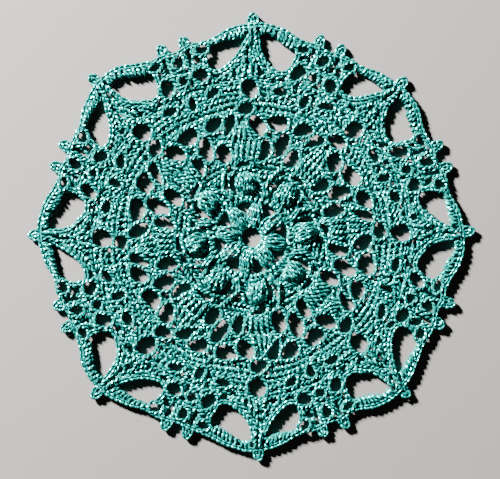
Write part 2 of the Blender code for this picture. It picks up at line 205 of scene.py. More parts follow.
CORDS = (
    Cord("ring", Family.PETALS, stops((0, 4.7), (15, 4.7), (30, 4.7)), closed=True),
    Cord("over the ring", Family.PETALS, stops((0, 6.6), (15, 6.6), (30, 6.6)), closed=True, lift=-0.3),
    Cord("under the petals", Family.PETALS, stops(
        (0, 8.3), (15, 8.3), (30, 8.3)), closed=True, lift=-0.4),
    Cord("petal chain", Family.INNER, stops(
        (10, 14.4), (21, 14.9), (32.5, 15.4), (44, 14.9)), closed=True, lift=-0.1, lay=0.8, width=0.7),
    Cord("popcorn feet", Family.INNER, stops(
        (3, 17.2), (14, 17.6), (25, 17.2), (36, 17)), closed=True, lay=-1),
    Cord("between popcorns", Family.INNER, stops(
        (8.4, 19.6), (12, 20), (16, 20.2), (22, 19.4)), lift=-0.1),
    Cord("over popcorn", Family.INNER, stops(
        (-20, 26.4), (-13, 27.2), (-6, 28), (2, 27.6), (9, 26.8), (16, 27.2)), closed=True),
    Cord("under leaf", Family.INNER, stops((2.4, 29.4), (12, 29.1), (22, 29.2), (32, 29.4)), lay=-1),
    Cord("leaf feet", Family.INNER, stops(
        (-18, 30.9), (-6, 31.4), (8, 30.9), (17.5, 31.4)), closed=True),
    Cord("beside popcorn", Family.LEAVES, stops((5.4, 24.6), (9, 25), (14, 25.3), (19, 26)), lift=-0.1),
    Cord("fork, left arm", Family.LEAVES, stops(
        (14.2, 21.4), (10.4, 22.2), (8, 23.8), (6.6, 25.8)), lift=0.6),
    Cord("fork, right arm", Family.LEAVES, stops(
        (14, 21.2), (17.2, 23.6), (20.6, 26.6), (22.6, 28.6)), lift=0.9),
    Cord("beside slanting gap", Family.LEAVES, stops((21.4, 17.8), (23, 22.4), (25.8, 26.8)), lift=0.2),
    Cord("leaf heads", Family.LEAVES, stops(
        (-22.5, 41), (-17.5, 39.8), (-13, 39.4), (-4, 39.4), (6, 39.4), (13, 39.8))),
    Cord("leaf tip, right edge", Family.LEAVES, stops(
        (3.4, 40.4), (1.2, 42.6), (-0.9, 45.6), (-3.2, 48.8)), lift=0.5),
    Cord("leaf tip, left edge", Family.LEAVES, stops(
        (-14.4, 40.4), (-12.2, 42.6), (-9, 45.2), (-5.4, 48.4)), lift=0.3),
    Cord("under the tip", Family.LEAVES, stops(
        (-12.2, 40.9), (-7.5, 41.6), (-3, 41.7), (0.6, 41.4)), lift=-0.4),
    Cord("end of the tip", Family.LEAVES, stops((-5, 46.2), (-4.3, 49.2)), lift=-0.3),
    Cord("knot in the net", Family.LEAVES, stops((-18.9, 42.9), (-16.2, 43.3)), lift=-0.3),
    Cord("large V left", Family.LEAVES, stops((16.6, 31.4), (14.4, 36), (12.4, 41.6))),
    Cord("large V right", Family.LEAVES, stops((17.6, 31.4), (21.4, 37), (24.4, 42)), lay=-1),
    Cord("net bar left", Family.LEAVES, stops((8, 41.6), (7.4, 45.5), (7, 50))),
    Cord("net bar right", Family.LEAVES, stops((21, 44.8), (20.4, 48), (20, 50.8))),
    Cord("row 1", Family.BLOCKS, stops(
        (-0.4, 53.4), (5, 53.6), (12, 53.5), (20, 53), (30, 53.6), (38, 53.4)),
        closed=True, lift=0.05, lay=-1),
    Cord("row 2", Family.BLOCKS, stops(
        (-2, 55.2), (3.5, 55.8), (9, 55.7), (17, 55), (21.3, 54.6), (25.5, 55.4), (34, 55.9),
        (39.5, 55.6)), closed=True, lift=0.2),
    Cord("row 3", Family.BLOCKS, stops(
        (2.4, 58.2), (6, 57.9), (11.6, 57.3), (17, 57), (21.2, 56.8), (26.5, 57.2), (34, 58),
        (41.4, 58.2)), lift=0.1, lay=-1),
    Cord("row 4", Family.BLOCKS, stops(
        (2.6, 60.4), (6, 60.2), (11.6, 59.5), (17, 59.3), (26.5, 59.2), (34, 60.2), (41.4, 60.4)),
        lift=0.25),
    Cord("row 5, side", Family.BLOCKS, stops((15.4, 61.4), (20.8, 62.2), (26.8, 61.4))),
    Cord("band", Family.MIDDLE, stops(
        (-22.5, 64.3), (-15, 64.3), (-10, 64.6), (-1, 64.6), (8, 64.5), (15, 63.8)),
        closed=True, lift=0.15),
    Cord("fan left, outer", Family.BORDER, stops(
        (-11.4, 65.4), (-8.2, 66.8), (-5.5, 69.4), (-3.6, 72.6), (-2.2, 76.2)), lift=0.1, lay=-1),
    Cord("fan left, inner", Family.BORDER, stops((-5.2, 66.6), (-3.7, 69.2), (-2.6, 72.6)), lift=0.5),
    Cord("fan left, middle", Family.BORDER, stops(
        (-3.6, 63.4), (-3, 66.2), (-2.5, 69.4)), lift=0.7, lay=-1),
    Cord("fan right, outer", Family.BORDER, stops(
        (7.2, 65.2), (4.2, 67.2), (2, 70.2), (0.6, 73.8), (0.1, 76.6)), lift=0.1),
    Cord("fan right, inner", Family.BORDER, stops(
        (1.9, 66.8), (0.5, 69.4), (-0.4, 72.6)), lift=0.5, lay=-1),
    Cord("fan right, middle", Family.BORDER, stops((-0.4, 63.4), (-0.6, 66.2), (-0.9, 69.6)), lift=0.7),
    Cord("fan top, left", Family.BORDER, stops((-1.6, 77.2), (-1, 80.4), (-0.7, 84)), lift=0.6),
    Cord("fan top, right", Family.BORDER, stops(
        (0.6, 77.6), (0.7, 80.6), (0.6, 84.2)), lift=0.6, lay=-1),
    Cord("arch left, inner", Family.ARCHES, stops(
        (-13.4, 78.6), (-10, 79.6), (-6, 80.1), (-2.2, 80.6)), lift=-0.1, lay=1.1, width=0.8),
    Cord("arch right, inner", Family.ARCHES, stops(
        (2.2, 82.4), (4.4, 82.4), (8, 80.4), (10, 79), (13, 77.4)), lift=-0.1, lay=-1.1, width=0.8),
    Cord("ladder left", Family.BORDER, stops((-14.6, 64), (-14.4, 66.4), (-14.8, 69))),
    Cord("ladder middle", Family.BORDER, stops((24.6, 64.2), (24.8, 68), (24.4, 71.6))),
    Cord("ladder right", Family.BORDER, stops((19, 64), (18.4, 68), (18.8, 72))),
    Cord("ladder next", Family.BORDER, stops((12.4, 63.8), (12.6, 66), (13.6, 70.4))),
    Cord("side eye, right", Family.BORDER, stops((24.6, 72), (24.8, 76), (25, 80.2))),
    Cord("side eye, left", Family.BORDER, stops((19.2, 72.2), (19.4, 76), (19.4, 80.4))),
    Cord("side eye, far left", Family.BORDER, stops((15.4, 72), (17.2, 74.6), (17.6, 77.6)), lay=-1),
    Cord("side eye, between", Family.BORDER, stops((26, 71), (27, 75.6), (27.2, 80))),
    Cord("side eye, far right", Family.BORDER, stops((29.8, 71.6), (29.3, 74.6), (28.8, 78.6)), lay=-1),
)

POSTS = (
    Posts("leaf", Family.LEAVES, 6, stops(
        (-14, 31.2), (3.8, 31), (-13.8, 39.6), (5.4, 39.9)), rise=0.7, width=1.3),
    Posts("leaf, below", Family.LEAVES, 7, stops(
        (-14.8, 31.2), (4.8, 31), (-13.8, 39.6), (5.4, 39.9)), rise=-0.6),
    Posts("leaf tip", Family.LEAVES, 4, stops(
        (-10.6, 39.2), (0.2, 39.4), (-6.8, 46.6), (-3.2, 46.8)), rise=0.4, width=1.1),
    Posts("fan left", Family.BORDER, 5, stops(
        (-10.4, 65.2), (-1.9, 65), (-8.4, 69.2), (-1.1, 78.2)), rise=-0.5),
    Posts("fan right", Family.BORDER, 5, stops(
        (7.8, 65), (-1.2, 65), (6.4, 68.4), (-0.6, 78.2)), rise=-0.5),
    Posts("under popcorns", Family.INNER, 6, stops((0, 15), (38, 15.2), (1, 17.4), (39, 17.4)), rise=0),
    Posts("block row 1", Family.BLOCKS, 16, stops(
        (2.4, 50.8), (40, 50.8), (2.8, 53.6), (40.4, 53.6)), rise=-0.5),
    Posts("block row 2", Family.BLOCKS, 17, stops(
        (1.6, 53.4), (41.2, 53.4), (1.2, 55.8), (40.8, 55.8)), rise=-0.5),
    Posts("block row 3", Family.BLOCKS, 16, stops(
        (3.4, 55.8), (40.6, 55.8), (3.2, 59.8), (40.4, 59.8)), rise=-0.5),
    Posts("block row 5", Family.BLOCKS, 16, stops(
        (3.4, 60.2), (40.6, 60.2), (3.2, 64.4), (40.4, 64.4)), rise=-0.5),
)

ARCHES = (
    Arch("left", -13, -1.2, stops((-13.6, 78.2), (-10, 79.2), (-6, 79.6), (-2.4, 80.2))),
    Arch("right", 1.4, 12.6, stops((2.6, 82), (4.2, 82.2), (8, 79.9), (10, 78.4), (12.8, 77))),
)

GAPS = (
    Gap("between petals", stops(
        (-12.5, 9.4), (-16, 11.2), (-20.6, 12.6), (-20.4, 13.3), (-11, 14), (-4.6, 13.7), (-4.2, 12.9),
        (-8.9, 11.4), (-11, 9.9)), rim=False),
    Gap("beside popcorn", stops(
        (-22.2, 20.4), (-22, 22.6), (-19.6, 25), (-15.8, 25.6), (-18.4, 23.4), (-20.4, 20.4)),
        rim=False),
    Gap("above popcorn", stops((-11.4, 28.6), (-9.6, 30), (-5, 30.4), (0.2, 29.8), (-5, 28.9))),
    Gap("leaf left", stops(
        (-21, 32), (-21.4, 34), (-19.5, 38), (-17, 38.8), (-15.2, 37.6), (-14.5, 32.8), (-16, 32))),
    Gap("leaf right", stops(
        (5, 32.2), (6.3, 34.8), (6.2, 37.4), (8.2, 38.6), (10.6, 37.2), (11.4, 35.4), (9.4, 32),
        (7.5, 31.4))),
    Gap("between leaves", stops(
        (13.8, 39.2), (15.4, 40.4), (17.2, 42.8), (19.4, 43.4), (21.4, 42.4), (21.4, 39.8), (18.2, 35),
        (16.6, 34.8), (15.2, 37))),
    Gap("net left", stops(
        (-22.4, 46.8), (-20.2, 44.7), (-18.2, 45), (-14.8, 49.6), (-18, 50.2), (-21.4, 48.8))),
    Gap("net beside tip", stops(
        (-14.6, 42), (-12.6, 45.2), (-11.8, 48.4), (-9.4, 49.1), (-7.9, 48), (-8.5, 46), (-12.2, 43.2))),
    Gap("net right of tip", stops(
        (-0.7, 45), (0.4, 47.6), (2.6, 48.2), (4.8, 47.2), (7, 43.6), (6.2, 41.7), (2.7, 41.9),
        (0.8, 43.4))),
    Gap("net right", stops(
        (8.5, 47.9), (9.8, 45.4), (12, 44.2), (15, 44.4), (17.8, 47), (17.2, 49), (12, 49.3))),
    Gap("over the tip", stops(
        (-5.9, 51.4), (-3, 49.6), (-0.4, 50.4), (1.1, 52), (-0.6, 53.6), (-3.6, 53.4))),
    Gap("corner eye", stops(
        (-3.8, 59.6), (-2.8, 57.2), (-0.9, 56.4), (1, 57.2), (1.9, 60), (1, 62.6), (-1, 63.2),
        (-3, 62.4))),
    Gap("block right", stops(
        (9.1, 59.4), (11, 60.4), (13.2, 59.9), (14.3, 58.8), (12.6, 57.8), (10.2, 58))),
    Gap("block left", stops((-17.6, 58.4), (-16.4, 60.6), (-13.6, 61.4), (-12.4, 60.8), (-14.4, 58.8))),
    Gap("side upright", stops(
        (19.9, 58), (20.4, 60.1), (22.2, 60.2), (22.5, 58.2), (21.5, 55.7), (20.5, 55.8))),
    Gap("ladder left", stops(
        (-19.6, 68.6), (-18.2, 70.2), (-16.2, 69.6), (-15.3, 67.8), (-17, 65.4), (-18.4, 66.4))),
    Gap("ladder right", stops(
        (13.7, 65.4), (13.9, 68.4), (15.8, 70.7), (17.4, 69.4), (16.6, 66.4), (14.6, 64.9))),
    Gap("ladder middle", stops((20.1, 67.6), (21, 69.4), (22.4, 68.6), (22.4, 67), (21.2, 66.3))),
    Gap("arch left", stops(
        (-2.7, 79.2), (-5.3, 74.4), (-8.5, 71), (-11.8, 68.4), (-13.8, 69.6), (-14.3, 71.6), (-13.3, 75),
        (-11.3, 78.2), (-7, 79.1)), rim=False),
    Gap("arch right", stops(
        (3.6, 81.4), (2.1, 78.8), (2.3, 75.2), (3.6, 72), (6, 69.2), (8.3, 67.5), (10.5, 67.8),
        (13.3, 72.4), (12.8, 75.6), (10, 77.6), (6, 80.3)), rim=False),
    Gap("side eye", stops((20.9, 74.6), (21.2, 77), (23.2, 77.8), (23.4, 75.6), (22.2, 73.5))),
    Gap("picot left", stops((-16.2, 76.6), (-16, 78.4), (-14, 79.2), (-13.4, 78.2), (-14.5, 76.4))),
    Gap("picot right", stops((13.8, 78), (15.4, 78.9), (17, 78.2), (15.5, 76.4))),
)

POCKETS = (
    Pocket(-5.6, 22.4, 10.4, 9.2), Pocket(-6.3, 65.9, 2, 2.4), Pocket(2.8, 65.2, 2, 2.4),
    Pocket(-13, 63.2, 2, 1.6), Pocket(10.3, 64, 2.2, 1.5), Pocket(-21.5, 64.6, 1.9, 1.4),
    Pocket(20.5, 61, 1.8, 1.4), Pocket(-7.8, 61.8, 1.8, 1.4), Pocket(-6.5, 56.8, 1.8, 1.2),
    Pocket(-8.5, 52.4, 1.7, 1.3), Pocket(18.5, 52.6, 2.3, 1.4), Pocket(18.2, 74.4, 1.6, 2),
    Pocket(-17.8, 74.8, 1.6, 2), Pocket(10.4, 41.2, 2, 1), Pocket(-18.2, 29.2, 1.6, 1.4),
    Pocket(13, 28, 1.6, 1.3), Pocket(7.8, 62.4, 2, 1.3), Pocket(16.7, 62, 1.8, 1.2),
)

PICOTS = (
    Picot("corner", 0, 85.4, 90.3),
    Picot("side, right", 19.1, 80.8, 85.8),
    Picot("side, left", -19.5, 80.8, 85.4),
)


@dataclass
class Yarn:
    """The cotton that everything is worked from."""

    radius: float = 0.5       # mm
    sides: int = 6            # corners of the thread's section
    ring_step: float = 0.62   # mm between two rings of corners
    table_gap: float = 0.02   # mm kept between the thread and the table
    end_taper: float = 0.4    # how far a cut end's cap stands out, as a share of the radius
    seed: int = 11


@dataclass
class Pattern:
    """Lays the even pattern out as the handmade doily lies."""

    wander: float = 0.26      # mm that the work strays from the even place
    wander_lengths: tuple = (31.0, 19.0, 12.0)  # mm from one stray to the next
    wander_turn: float = 1.7  # radians from the start of one wave of strays to that of the next
    wander_lead: float = 2.1  # radians by which the stray along Y runs ahead of the one along X
    wander_skew: tuple = (0.6, 0.7)  # how fast each stray changes along its own way, as a share
    shift: np.ndarray = field(init=False)

    def __post_init__(self) -> None:
        """Find the middle of the outline's box."""
        tips = [self.pulled(np.array(90.0 * side), TIP_RADIUS) for side in range(4)]
        self.shift = np.array([(tips[1][0] + tips[3][0]) / 2, (tips[0][1] + tips[2][1]) / 2])

    def pulled(self, turn: np.ndarray, radius: np.ndarray) -> np.ndarray:
        """Where points of the even pattern lie, with the solid's own pull.

        Args:
            turn: degrees clockwise from +Y.
            radius: mm from the middle.

        Returns:
            The places in mm, from the middle of the work.
        """
        steps = turn / (360.0 / len(PULLS))
        first = np.floor(steps).astype(int)
        share = 0.5 - 0.5 * np.cos(np.pi * (steps - first))
        table = np.array(PULLS)
        before, after = table[first % len(PULLS)], table[(first + 1) % len(PULLS)]
        reach, swing = np.moveaxis(before + share[..., None] * (after - before), -1, 0)
        out = radius / TIP_RADIUS
        heading = np.radians(turn + swing * out)
        stretched = radius + reach * out ** 2
        return np.stack([stretched * np.sin(heading), stretched * np.cos(heading)], axis=-1)

    def place(self, turn: np.ndarray, radius: np.ndarray) -> np.ndarray:
        """Where points of the even pattern lie, with the small strays of handwork too.

        Args:
            turn: degrees clockwise from +Y.
            radius: mm from the middle.

        Returns:
            The places in mm, from the origin of the part.
        """
        spot = self.pulled(turn, radius)
        stray = np.zeros_like(spot)
        for count, length in enumerate(self.wander_lengths):
            x, y = np.moveaxis(2 * np.pi / length * spot, -1, 0)
            start = self.wander_turn * count
            stray[..., 0] += np.sin(y + start) * np.cos(self.wander_skew[0] * x)
            stray[..., 1] += np.sin(x + self.wander_lead + start) * np.cos(self.wander_skew[1] * y)
        return spot + stray * self.wander / len(self.wander_lengths) ** 0.5 - self.shift


def travelled(line: np.ndarray) -> np.ndarray:
    """How far along a line each of its points lies."""
    return np.concatenate([[0.0], np.cumsum(np.linalg.norm(np.diff(line, axis=0), axis=1))])


def eased(stations: np.ndarray, per_stretch: int = LINE_POINTS) -> np.ndarray:
    """A smooth line through stations, by cubic Hermite pieces.

    Args:
        stations: the points to pass, one a row.
        per_stretch: the points laid from each station to the next.

    Returns:
        The points of the smooth line.
    """
    if len(stations) < 3:
        share = np.linspace(0.0, 1.0, per_stretch + 1)[:, None]
        return stations[0] + share * (stations[-1] - stations[0])
    at = travelled(stations)
    slope = np.gradient(stations, at, axis=0)
    chord = np.diff(at)[:, None, None]
    start, end = stations[:-1, None], stations[1:, None]
    leave, arrive = slope[:-1, None] * chord, slope[1:, None] * chord
    t = (np.arange(per_stretch) / per_stretch)[None, :, None]
    body = ((2 * t ** 3 - 3 * t ** 2 + 1) * start + (t ** 3 - 2 * t ** 2 + t) * leave
            + (3 * t ** 2 - 2 * t ** 3) * end + (t ** 3 - t ** 2) * arrive)
    return np.concatenate([body.reshape(-1, stations.shape[1]), stations[-1:]])


def even_steps(line: np.ndarray, step: float) -> np.ndarray:
    """The same line with points about one step apart.

    Args:
        line: the points of a line, one a row.
        step: the way between two new points, in mm.

    Returns:
        The new points, with both ends kept.
    """
    run = travelled(line)
    at = np.linspace(0.0, run[-1], max(2, round(run[-1] / step) + 1))
    return np.stack([np.interp(at, run, axis) for axis in line.T], axis=1)


@dataclass
class Line:
    """A smooth line across the doily that stitches are worked along."""

    spots: np.ndarray
    run: np.ndarray = field(init=False)
    ways: np.ndarray = field(init=False)

    def __post_init__(self) -> None:
        """Measure the line and find its directions."""
        self.run = travelled(self.spots)
        ways = np.gradient(self.spots, axis=0)
        self.ways = ways / np.linalg.norm(ways, axis=1, keepdims=True)

    @property
    def length(self) -> float:
        """The line's length in mm."""
        return float(self.run[-1])

    def at(self, along: np.ndarray, across: np.ndarray) -> np.ndarray:
        """Points beside the line, and past its ends.

        Args:
            along: mm along the line.
            across: mm to its left.

        Returns:
            The points in mm.
        """
        held = np.clip(along, 0.0, self.length)
        spot = np.stack([np.interp(held, self.run, axis) for axis in self.spots.T], axis=-1)
        way = np.stack([np.interp(held, self.run, axis) for axis in self.ways.T], axis=-1)
        left = np.stack([-way[..., 1], way[..., 0]], axis=-1)
        return spot + way * (along - held)[..., None] + left * across[..., None]


def closed_stops(line_stops: tuple) -> tuple:
    """The stops of one repeat, carried on round all the repeats and back to the first."""
    whole = [Stop(stop.angle + REPEAT_ANGLE * repeat, stop.radius)
             for repeat in range(REPEATS) for stop in line_stops]
    return (*whole, Stop(line_stops[0].angle + 360.0, line_stops[0].radius))


def polar_line(line_stops: tuple) -> np.ndarray:
    """A smooth line of angle and radius through stops."""
    return eased(np.array(line_stops, float))


def charted(run: Braid | Cord) -> np.ndarray:
    """The line of a run of the chart in one repeat, or its one line round them all."""
    return polar_line(closed_stops(run.stops) if run.closed else run.stops)


def closed_line(corners: np.ndarray) -> np.ndarray:
    """A smooth closed line.

    Args:
        corners: the points to pass, one a row, each once.

    Returns:
        The points of the line, of which the last is the first again.
    """
    lead = 2
    wound = np.concatenate([corners[-lead:], corners, corners[:lead + 1]])
    return eased(wound)[LINE_POINTS * lead:-LINE_POINTS * lead]


def grown(outline: np.ndarray, distance: float) -> np.ndarray:
    """A closed outline moved outward.

    Args:
        outline: its points in mm, the last the same as the first.
        distance: how far each point moves, in mm.

    Returns:
        The points of the larger outline, closed in the same way.
    """
    corners = outline[:-1]
    ways = np.roll(corners, -1, axis=0) - np.roll(corners, 1, axis=0)
    ways /= np.linalg.norm(ways, axis=1, keepdims=True)
    x, y = outline.T
    area = np.sum(x[:-1] * y[1:] - x[1:] * y[:-1])
    ring = corners + np.column_stack([ways[:, 1], -ways[:, 0]]) * np.sign(area) * distance
    return np.concatenate([ring, ring[:1]])


def side_by_side(corners: np.ndarray, count: int) -> np.ndarray:
    """Where the stitches of a row lie.

    Args:
        corners: the first and the last foot, then the first and the last head.
        count: how many stitches the row has.

    Returns:
        The foot and the head of each stitch, as stitch, end, and angle and radius.
    """
    first, last = corners[0::2], corners[1::2]
    return first + (last - first) * np.linspace(0.0, 1.0, count)[:, None, None]


def stretches(kept: np.ndarray, shortest: int) -> list:
    """The unbroken stretches of a line that are kept.

    Args:
        kept: whether each point of the line is kept.
        shortest: the fewest points that a stretch has.

    Returns:
        For each stretch its first point and the one past its last.
    """
    marks = np.flatnonzero(np.diff(np.concatenate([[0], kept.astype(int), [0]])))
    return [(start, end) for start, end in zip(marks[::2], marks[1::2]) if end - start >= shortest]


def frames(lines: np.ndarray) -> tuple:
    """Directions across threads that turn as little as they can along them.

    Args:
        lines: centrelines of one point count, as thread, point, axis.

    Returns:
        The two directions across each thread at each point.
    """
    ahead = np.gradient(lines, axis=1)
    ahead /= np.maximum(np.linalg.norm(ahead, axis=2, keepdims=True), TINY)
    side = np.empty_like(lines)
    start = np.cross(ahead[:, 0], np.array([0.0, 0.0, 1.0]))
    weak = np.linalg.norm(start, axis=1) < UPRIGHT
    start[weak] = np.cross(ahead[weak, 0], np.array([1.0, 0.0, 0.0]))
    side[:, 0] = start / np.linalg.norm(start, axis=1, keepdims=True)
    for step in range(1, lines.shape[1]):
        before, way = side[:, step - 1], ahead[:, step]
        turned = before - way * (before * way).sum(1, keepdims=True)
        side[:, step] = turned / np.maximum(np.linalg.norm(turned, axis=1, keepdims=True), TINY)
    return side, np.cross(side, ahead)


@dataclass
class Openwork:
    """The gaps of all the repeats, as laid out on the doily."""

    pattern: Pattern
    rim_distance: float = 0.86   # mm from a gap's outline to the middle of the cord round it
    ring_step: float = 0.4       # mm between two points of such a cord
    ring_close: int = 5          # points that a whole cord runs on past its start
    merge_distance: float = 1.7  # mm at which the cords of two gaps begin to draw together
    merge_ease: float = 0.6      # mm closer at which they are one
    overlap: int = 3             # points that a cord runs on beside the one it joins
    shortest: int = 4            # fewest points of a cord that joins another
    clear: float = 1.2           # mm from a gap's outline to the ends of what its cord crosses
    size: float = 1.05           # a gap inside its cord, as a share of the charted one
    size_stray: float = 0.05     # by how much a gap's share differs from that
    place_stray: float = 0.16    # mm by which a gap lies out of place
    pocket_corners: int = 12     # corners of a pocket's outline
    seed: int = 5
    rng: np.random.Generator = field(init=False)
    outlines: list = field(default_factory=list)  # where nothing but a gap's own cord may lie
    rings: list = field(default_factory=list)     # a cord's line round each gap
    rims: list = field(default_factory=list)      # the cords' own lines, drawn together

    def __post_init__(self) -> None:
        """Lay the outline of every gap and pocket of every repeat."""
        self.rng = np.random.default_rng(self.seed)
        for repeat in range(REPEATS):
            for gap in GAPS:
                self.lay_gap(gap, repeat * REPEAT_ANGLE)
            for pocket in POCKETS:
                self.lay_pocket(pocket, repeat * REPEAT_ANGLE)
        self.merge()

    def lay_gap(self, gap: Gap, turn: float) -> None:
        """Lay the outline of a gap, and the line of the cord round it if it has one.

        Args:
            gap: the charted gap.
            turn: degrees clockwise from the first repeat.
        """
        angle, radius = closed_line(np.array(gap.outline, float)).T
        outline = self.pattern.place(angle + turn, radius)
        if not gap.rim:
            self.outlines.append(outline)
            return
        middle = outline[:-1].mean(axis=0)
        size = self.size + self.rng.normal(0.0, self.size_stray, 2)
        outline = middle + (outline - middle) * size + self.rng.normal(0.0, self.place_stray, 2)
        self.outlines.append(grown(outline, self.clear))
        self.rings.append(even_steps(grown(outline, self.rim_distance), self.ring_step)[:-1])

    def lay_pocket(self, pocket: Pocket, turn: float) -> None:
        """Lay the outline of a pocket.

        Args:
            pocket: the charted pocket.
            turn: degrees clockwise from the first repeat.
        """
        ways = np.linspace(0.0, 2 * np.pi, self.pocket_corners + 1)
        angle = pocket.angle + np.degrees(pocket.width / 2 * np.sin(ways) / pocket.radius)
        radius = pocket.radius + pocket.depth / 2 * np.cos(ways)
        self.outlines.append(self.pattern.place(angle + turn, radius))

    def merge(self) -> None:
        """Make one cord of two gaps' cords wherever they run side by side, in the middle of both."""
        every = np.concatenate(self.rings)
        owner = np.concatenate([np.full(len(ring), at) for at, ring in enumerate(self.rings)])
        for at, ring in enumerate(self.rings):
            spots, owners = every[owner != at], owner[owner != at]
            apart = np.linalg.norm(ring[:, None] - spots[None], axis=2)
            near = apart.argmin(axis=1)
            share = np.clip((self.merge_distance - apart.min(axis=1)) / self.merge_ease, 0.0, 1.0)
            moved = ring + 0.5 * share[:, None] * (spots[near] - ring)
            given = (share > 0.5) & (owners[near] < at)
            if not given.any():
                self.rims.append(np.concatenate([moved, moved[:self.ring_close]]))
                continue
            first = int(np.flatnonzero(given)[0])
            moved, kept = np.roll(moved, -first, axis=0), ~np.roll(given, -first)
            for start, end in stretches(kept, self.shortest):
                self.rims.append(moved[max(0, start - self.overlap):end + self.overlap])

    def inside(self, spots: np.ndarray) -> np.ndarray:
        """Which places lie in a gap, by how often a ray from each crosses the outlines.

        Args:
            spots: the places in mm, one a row.

        Returns:
            For each place whether it lies in a gap or a pocket.
        """
        found = np.zeros(len(spots), bool)
        for outline in self.outlines:
            low, high = outline.min(axis=0), outline.max(axis=0)
            near = np.flatnonzero(((spots >= low) & (spots <= high)).all(axis=1))
            if not len(near):
                continue
            x, y = spots[near].T[..., None]
            x0, y0 = outline[:-1].T
            x1, y1 = outline[1:].T
            spans = (y0 > y) != (y1 > y)
            rise = np.where(np.abs(y1 - y0) < TINY, TINY, y1 - y0)
            crossed = spans & (x < x0 + (x1 - x0) * (y - y0) / rise)
            found[near] |= crossed.sum(axis=1) % 2 == 1
        return found


class TubeFaces(NamedTuple):
    """The faces of a closed tube whose corners run ring by ring, with its two poles last."""

    corners: np.ndarray  # of one face after the other
    sizes: np.ndarray    # how many of them each face has
    around: np.ndarray   # how far round the tube each of them lies, as a share


def tube_faces(rings: int, sides: int) -> TubeFaces:
    """The faces of a closed tube: four-sided along it, and three-sided at its ends.

    Args:
        rings: how many rings of corners it has.
        sides: how many corners each ring has.

    Returns:
        The tube's faces.
    """
    spoke = np.arange(sides)
    after = (spoke + 1) % sides
    ring = sides * np.arange(rings - 1)[:, None]
    last = sides * (rings - 1)
    pole = np.full(sides, last + sides)
    walls = np.stack([ring + spoke, ring + after, ring + sides + after, ring + sides + spoke], axis=-1)
    foot = np.stack([after, spoke, pole], axis=-1)
    head = np.stack([last + spoke, last + after, pole + 1], axis=-1)
    round_wall = np.stack([spoke, spoke + 1, spoke + 1, spoke], axis=-1)
    around = [np.tile(round_wall.ravel(), rings - 1), np.tile(np.repeat(spoke, 3), 2)]
    return TubeFaces(corners=np.concatenate([walls.ravel(), foot.ravel(), head.ravel()]),
                     sizes=np.repeat([4, 3], [last, 2 * sides]),
                     around=np.concatenate(around) / sides)


@dataclass
class Skein:
    """Collects the centrelines of threads and makes one mesh of them."""

    name: str
    yarn: Yarn
    lines: list = field(default_factory=list)
    thread_step: float = 7.3  # mm by which the plies of one thread start past those of the last
    batch_step: float = 1.9   # mm by which those of a batch of equal threads do

    def add(self, line: np.ndarray) -> None:
        """Take one more thread, and keep it off the table.

        Args:
            line: the points that it passes, in mm.
        """
        line = even_steps(line, self.yarn.ring_step)
        line[:, 2] = np.maximum(line[:, 2], self.yarn.radius + self.yarn.table_gap)
        self.lines.append(line)

    def skin(self, lines: np.ndarray) -> np.ndarray:
        """The corners of the tubes round threads.

        Args:
            lines: centrelines of one point count, as thread, point, axis.

        Returns:
            The corners ring by ring, and then the two poles, as thread, corner, axis.
        """
        side, up = frames(lines)
        turns = 2 * np.pi * np.arange(self.yarn.sides) / self.yarn.sides
        ways = (np.cos(turns)[:, None] * side[:, :, None, :]
                + np.sin(turns)[:, None] * up[:, :, None, :])
        rings = lines[:, :, None, :] + self.yarn.radius * ways
        ahead = np.cross(up, side) * self.yarn.radius * self.yarn.end_taper
        poles = np.stack([lines[:, 0] - ahead[:, 0], lines[:, -1] + ahead[:, -1]], axis=1)
        return np.concatenate([rings.reshape(len(lines), -1, 3), poles], axis=1)

    def mesh(self) -> bpy.types.Mesh:
        """One smooth mesh of all the threads, with the share round each and the mm along as UV.

        Returns:
            The mesh, in metres.
        """
        batches: dict = {}
        for line in self.lines:
            batches.setdefault(len(line), []).append(line)
        points, corners, sizes, around, along = [], [], [], [], []
        first = 0
        for batch, (rings, members) in enumerate(sorted(batches.items())):
            lines, faces = np.array(members), tube_faces(rings, self.yarn.sides)
            skin = self.skin(lines)
            thread = np.arange(len(lines))[:, None]
            run = np.array([travelled(line) for line in lines])
            run += batch * self.batch_step + thread * self.thread_step
            level = np.concatenate([np.repeat(run, self.yarn.sides, axis=1), run[:, [0, -1]]], axis=1)
            points.append(skin.reshape(-1, 3))
            corners.append((first + thread * skin.shape[1] + faces.corners).ravel())
            sizes.append(np.tile(faces.sizes, len(lines)))
            around.append(np.tile(faces.around, len(lines)))
            along.append(level.ravel())
            first += skin.shape[0] * skin.shape[1]
        corners = np.concatenate(corners)
        uvs = np.column_stack([np.concatenate(around), np.concatenate(along)[corners]])
        return joined_mesh(self.name, np.concatenate(points) * MM, corners, np.concatenate(sizes), uvs)


def joined_mesh(name: str, points: np.ndarray, corners: np.ndarray, sizes: np.ndarray,
                uvs: np.ndarray) -> bpy.types.Mesh:
    """A smooth mesh from arrays.

    Args:
        name: the mesh's name.
        points: its points in metres.
        corners: the points of one face after the other.
        sizes: how many corners each face has.
        uvs: the place of each corner on the UV map.

    Returns:
        The mesh.
    """
    mesh = bpy.data.meshes.new(name)
    mesh.vertices.add(len(points))
    mesh.vertices.foreach_set("co", points.astype(np.float32).ravel())
    mesh.loops.add(len(corners))
    mesh.loops.foreach_set("vertex_index", corners.astype(np.int32))
    mesh.polygons.add(len(sizes))
    mesh.polygons.foreach_set("loop_start", (np.cumsum(sizes) - sizes).astype(np.int32))
    mesh.update(calc_edges=True)
    layer = mesh.uv_layers.new(name=UV_NAME)
    layer.data.foreach_set("uv", uvs.astype(np.float32).ravel())
    mesh.shade_smooth()
    mesh.validate()
    return mesh


